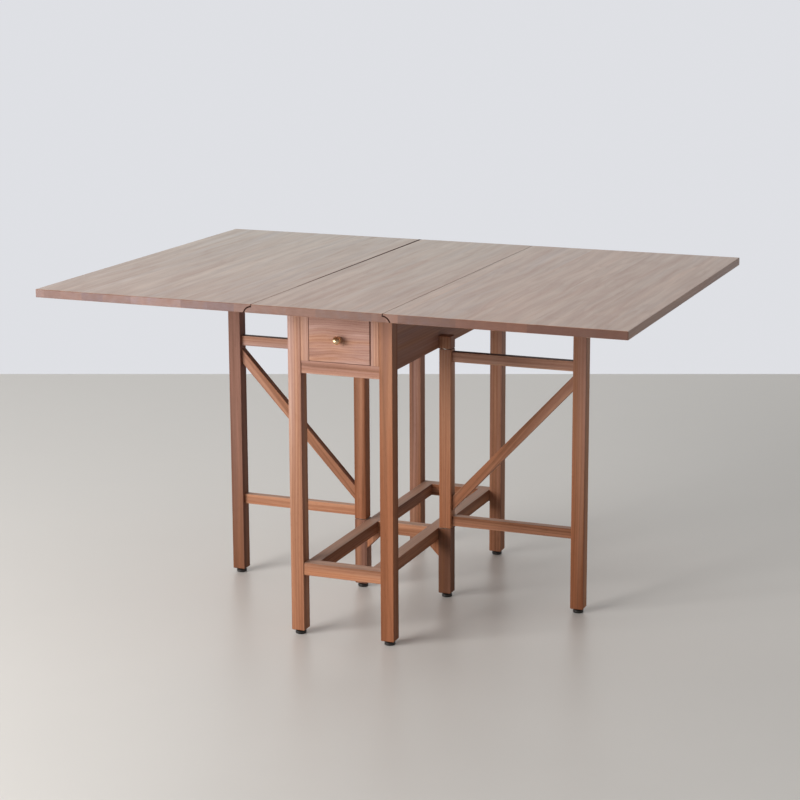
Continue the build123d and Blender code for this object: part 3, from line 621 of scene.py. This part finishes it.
def painted_seam_shade_mask(n, x, back, z):
    """Painted shade: 1 in the gaps of the rule joints and along their arrises, 0 elsewhere."""
    rightward = n.math("GREATER_THAN", x, 0.0)
    strength = n.mix(rightward, n.grey_ramp(back, LEFT_PAINTED_SEAM_SHADE), n.grey_ramp(back, RIGHT_PAINTED_SEAM_SHADE))
    out = n.math("ABSOLUTE", x)
    off_line = n.math("ABSOLUTE", n.math("SUBTRACT", out, SEAM_X))
    half_width = n.between(back, *SEAM_HALF_WIDTH)
    line = n.grey_ramp(n.math("DIVIDE", off_line, half_width), SEAM_EDGE)
    high = n.math("GREATER_THAN", z, PIVOT_Z + SEAM_RADIUS - SEAM_OVERLAP)
    line = n.math("MULTIPLY", n.math("MULTIPLY", line, strength), high)

    from_pivot = n.join(n.math("SUBTRACT", out, PIVOT_X), 0.0, n.math("SUBTRACT", z, PIVOT_Z))
    off_curve = n.math("ABSOLUTE", n.math("SUBTRACT", n.length(from_pivot), SEAM_RADIUS))
    curve = n.grey_ramp(n.math("MULTIPLY", off_curve, CENTIMETRES), CURVE_EDGE)
    curve = n.math("MULTIPLY", curve, n.math("GREATER_THAN", out, PIVOT_X))
    return n.math("MAXIMUM", line, curve)


def stave_values(n, across):
    """Middle, chance, shade and warmth of the stave at a share of the top's width."""
    width = 2 * TOP_HALF_WIDTH
    rights = [left for left, shade, warmth in STAVES[1:]] + [TOP_HALF_WIDTH]
    figures, tones = [], []
    for index, (left, shade, warmth) in enumerate(STAVES):
        position = (left + TOP_HALF_WIDTH) / width
        middle = ((left + rights[index]) / 2 + TOP_HALF_WIDTH) / width
        figures.append((position, (middle, index * GOLDEN_SHARE % 1.0, 0.0)))
        tones.append((position, (shade + MIDDLE, warmth / WARMTH_RANGE + MIDDLE, 0.0)))
    figure = n.add("SeparateColor", {0: n.ramp(across, figures, "CONSTANT")})
    tone = n.add("SeparateColor", {0: n.ramp(across, tones, "CONSTANT")})
    middle = n.math("MULTIPLY_ADD", figure.outputs[0], width, -TOP_HALF_WIDTH)
    shade = n.math("SUBTRACT", tone.outputs[0], MIDDLE)
    return middle, figure.outputs[1], shade, n.spread(tone.outputs[1], WARMTH_RANGE)


def top_wood():
    """Walnut of the three boards of the top: glued staves, each with its own figure and shade."""
    material, n, shader = new_material("walnut_top")
    spot = n.spot()
    x, y, z = n.split(spot)
    across = n.share(x, TOP_HALF_WIDTH)
    back = n.share(y, TOP_HALF_DEPTH)
    middle, chance, stave_shade, stave_warmth = stave_values(n, across)
    turned = n.add("Mapping", {"Vector": spot, "Rotation": turn_to_grain(BACK)}).outputs[0]
    place = n.vector("SUBTRACT", turned, n.join(middle))
    seed = n.vector("MULTIPLY", n.join(chance, chance, chance), SEED_STEPS)
    pith = n.join(n.spread(chance, STAVE_PITH_SIDE), n.between(chance, *STAVE_PITH_DEPTH))
    grain = add_grain(n, place, TOP_FIGURE, seed, pith)

    end = end_mask(n, BACK)
    contrast = n.between(end, *TOP_CONTRAST)
    lift = n.math("MULTIPLY", stave_shade, n.between(end, *STAVE_SHADE))
    shade = n.math("ADD", n.math("MULTIPLY_ADD", grain.outputs["Shade"], contrast, MIDDLE), lift)
    warm = n.math("MULTIPLY", stave_warmth, n.between(end, *STAVE_WARMTH))
    warmth = n.math("MULTIPLY_ADD", grain.outputs["Warmth"], TOP_HUE, warm)
    colour = walnut_colour(n, TOP_WALNUT, shade, warmth)
    # Painted sheen: paler and greyer towards the back, most of all on the left
    painted_back_sheen_share = n.math("MULTIPLY", back, n.grey_ramp(across, PAINTED_BACK_SHEEN_ACROSS))
    colour = n.tint(painted_back_sheen_share, colour, PAINTED_BACK_SHEEN)
    # End grain tint with painted sheen, palest and greyest on the left
    colour = n.tint(end, colour, n.ramp(across, TOP_END_GRAIN_AND_PAINTED_SHEEN))
    # Painted shade in the gaps and along the arrises of the rule joints
    seam = painted_seam_shade_mask(n, x, back, z)
    n.feed(shader.inputs["Base Color"], n.mix(seam, colour, PAINTED_SEAM_SHADE))

    rough = n.math("MULTIPLY_ADD", grain.outputs["Shade"], TOP_SHADE_ROUGHNESS, TOP_ROUGHNESS)
    side = n.grey_ramp(n.math("ABSOLUTE", n.facing(RIGHT)), SIDE_FACING)
    for mask, least in ((end, TOP_END_ROUGHNESS), (side, TOP_SIDE_ROUGHNESS), (seam, SEAM_ROUGHNESS)):
        rough = n.math("MAXIMUM", rough, n.math("MULTIPLY", mask, least))
    n.feed(shader.inputs["Roughness"], rough)
    upright = n.math("SUBTRACT", 1.0, n.math("ABSOLUTE", n.facing(UP)))
    wood_relief(n, shader, grain, n.grey_ramp(upright, TOP_RELIEF))
    shader.inputs["Specular IOR Level"].default_value = TOP_GLOSS
    return material


def brass():
    """Aged brass, darker and rougher where the patina is thick."""
    material, n, shader = new_material("aged_brass")
    patina = n.noise(n.spot(), BRASS_PATINA, detail=4.0)[0]
    n.feed(shader.inputs["Base Color"], n.ramp(patina, BRASS))
    roughen(n, shader, patina, BRASS_ROUGHNESS, BRASS_ROUGHNESS_SPREAD)
    shader.inputs["Metallic"].default_value = 1.0
    return material


def steel(name, colours, roughness):
    """Plated steel with fine rubbing marks."""
    material, n, shader = new_material(name)
    marks = n.noise(n.spot(), STEEL_MARKS, detail=3.0)[0]
    n.feed(shader.inputs["Base Color"], n.ramp(marks, colours))
    roughen(n, shader, marks, roughness, STEEL_ROUGHNESS_SPREAD)
    shader.inputs["Metallic"].default_value = 1.0
    return material


def black_plastic():
    """Moulded black plastic with a faint grain."""
    material, n, shader = new_material("black_plastic")
    speckle = n.noise(n.spot(), PLASTIC_SPECKLE)[0]
    n.feed(shader.inputs["Base Color"], n.ramp(speckle, PLASTIC))
    roughen(n, shader, speckle, PLASTIC_ROUGHNESS, PLASTIC_ROUGHNESS_SPREAD)
    emboss(n, shader, speckle, *PLASTIC_RELIEF)
    return material


def pale_wood(along):
    """Pale secondary wood of the drawer box, with its grain along X, Y or Z."""
    material, n, shader = new_material("pale_wood_" + "xyz"[along.index(1)])
    place = n.add("Mapping", {"Vector": n.spot(), "Rotation": turn_to_grain(along)}).outputs[0]
    bands = n.noise(place, PALE_BANDS, detail=3.0)[0]
    fibre = n.noise(place, PALE_FIBRES)[0]
    shade = n.math("ADD", bands, n.spread(fibre, PALE_FIBRE_STRENGTH))
    n.feed(shader.inputs["Base Color"], n.ramp(shade, PALE_WOOD))
    roughen(n, shader, fibre, PALE_ROUGHNESS, PALE_ROUGHNESS_SPREAD)
    emboss(n, shader, fibre, *PALE_RELIEF)
    return material


def dress(material, *nodes):
    """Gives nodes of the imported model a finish."""
    for node in nodes:
        slots = frame["nodes"][node].data.materials
        slots.clear()
        slots.append(material)


def brace_direction(side):
    """The way a gate brace rises, from its post out to its leg."""
    low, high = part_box("gate_brace_" + side)
    rise = high.z - low.z
    run = high.x - low.x
    return Vector((run if side == "right" else -run, 0.0, rise)).normalized()


def both(names):
    """Each name with its left and its right ending."""
    return [name + "_" + side for name in names for side in SIDES]


def dress_wood():
    """Walnut on the frame, the gates, the drawer front and the top; pale wood on the drawer box."""
    sticks = [(node, RIGHT) for node in ALONG_X + both(ALONG_X_PAIRS)]
    sticks += [(node, BACK) for node in both(ALONG_Y_PAIRS)]
    sticks += [(node, UP) for node in both(ALONG_Z_PAIRS) + ALONG_Z]
    sticks += [("gate_brace_" + side, brace_direction(side)) for side in SIDES]
    for node, along in sticks:
        dress(stick_wood(node, along), node)
    dress(top_wood(), "centre_top", "leaf_left", "leaf_right")
    dress(pale_wood(BACK), *both(["drawer_side"]), "drawer_runners", "drawer_kickers")
    dress(pale_wood(RIGHT), "drawer_back", "drawer_bottom")


def dress_fittings():
    """Brass knob, steel hinges, pins and screws, and black glides."""
    dress(brass(), "knob")
    hinge_steel = steel("hinge_steel", HINGE_STEEL, HINGE_ROUGHNESS)
    dress(hinge_steel, "hinge_plates", "hinge_pins", *both(["leaf_hinge_plates"]))
    screw_steel = steel("screw_steel", SCREW_STEEL, SCREW_ROUGHNESS)
    loose_pairs = both(["leaf_hinge_screws", "gate_pins", "gate_washers"])
    dress(screw_steel, "frame_screws", "hinge_screws", "knob_screw", *loose_pairs)
    dress(black_plastic(), "leg_glides", *both(["gate_glide"]))


def add_floor():
    """A plain pale round floor that ends behind the table, square to the view."""
    corners = []
    for side in range(FLOOR_SIDES):
        angle = 2 * math.pi * side / FLOOR_SIDES
        back = min(FLOOR_RADIUS * math.sin(angle), FLOOR_BACK)
        corner = Vector((FLOOR_RADIUS * math.cos(angle), back, 0.0))
        corner.rotate(Euler((0.0, 0.0, CAMERA_YAW)))
        corners.append(corner)
    mesh = bpy.data.meshes.new("floor")
    mesh.from_pydata(corners, [], [range(FLOOR_SIDES)])
    floor = bpy.data.objects.new("floor", mesh)
    bpy.context.scene.collection.objects.link(floor)
    material, n, shader = new_material("floor")
    cloud = n.noise(n.spot(), FLOOR_CLOUDS, detail=3.0)[0]
    darker = tuple(FLOOR_DARKER * part for part in FLOOR_COLOUR)
    colours = tuple(zip(FLOOR_CLOUD_EDGES, (darker, FLOOR_COLOUR)))
    n.feed(shader.inputs["Base Color"], n.ramp(cloud, colours))
    roughen(n, shader, cloud, FLOOR_ROUGHNESS, FLOOR_ROUGHNESS_SPREAD)
    shader.inputs["Specular IOR Level"].default_value = FLOOR_GLOSS
    mesh.materials.append(material)


def light_room():
    """A bright wall behind, a softer ceiling and a dim room in front."""
    world = bpy.data.worlds.new("studio")
    bpy.context.scene.world = world
    world.use_nodes = True
    n = Nodes(world.node_tree)
    background = world.node_tree.nodes["Background"]
    way = n.add("TexCoord", {}).outputs["Generated"]
    to_wall = (-math.sin(CAMERA_YAW), math.cos(CAMERA_YAW), 0.0)
    to_right = n.share(n.dot(way, RIGHT), 1.0)
    rise = n.dot(way, UP)
    behind = n.grey_ramp(n.dot(way, to_wall), WALL_START)
    around = n.mix(behind, n.grey_ramp(to_right, ROOM_GLOW), n.grey_ramp(to_right, WALL_GLOW))
    glow = n.mix(n.grey_ramp(rise, CEILING_START), around, CEILING_GLOW)
    lit = n.tint(1.0, glow, GLOW_TINT)
    shown = n.mix(n.grey_ramp(rise, PLAIN_WALL), lit, WALL_COLOUR)
    path = n.add("LightPath", {})
    mirrored = n.math("MAXIMUM", path.outputs["Is Glossy Ray"], path.outputs["Is Transmission Ray"])
    seen = n.math("MAXIMUM", path.outputs["Is Camera Ray"], n.math("MULTIPLY", mirrored, behind))
    n.feed(background.inputs["Color"], n.mix(seen, lit, shown))


def add_lamp(name, place, size, power):
    """A large soft lamp at the front left, which the camera doesn't see."""
    data = bpy.data.lights.new(name, "AREA")
    data.shape = "RECTANGLE"
    data.size, data.size_y = size
    data.energy = power
    data.color = LAMP_COLOUR
    lamp = bpy.data.objects.new(name, data)
    bpy.context.scene.collection.objects.link(lamp)
    lamp.location = place
    lamp.rotation_euler = (Vector(LAMP_AIM) - Vector(place)).to_track_quat("-Z", "Y").to_euler()
    lamp.visible_camera = False
    return lamp


def add_lamps():
    """The key lamp, which nothing mirrors, and the sheen lamp, which only shows in reflections."""
    add_lamp("key", KEY_PLACE, KEY_SIZE, KEY_POWER).visible_glossy = False
    add_lamp("sheen", SHEEN_PLACE, SHEEN_SIZE, SHEEN_POWER).visible_diffuse = False


def add_camera():
    """The camera at the photo's place, shifted so that the optical centre lies as in the photo."""
    data = bpy.data.cameras.new("camera")
    data.sensor_width = SENSOR_MM
    data.lens = FOCAL_PIXELS * SENSOR_MM / IMAGE_SIDE
    data.shift_x = (IMAGE_MIDDLE - OPTICAL_CENTRE[0]) / IMAGE_SIDE
    data.shift_y = (OPTICAL_CENTRE[1] - IMAGE_MIDDLE) / IMAGE_SIDE
    camera = bpy.data.objects.new("camera", data)
    bpy.context.scene.collection.objects.link(camera)
    camera.location = CAMERA_PLACE
    camera.rotation_euler = (math.pi / 2 - CAMERA_PITCH, 0.0, CAMERA_YAW)
    bpy.context.scene.camera = camera


dress_wood()
dress_fittings()
add_floor()
light_room()
add_lamps()
add_camera()
bpy.context.scene.view_settings.view_transform = "Standard"
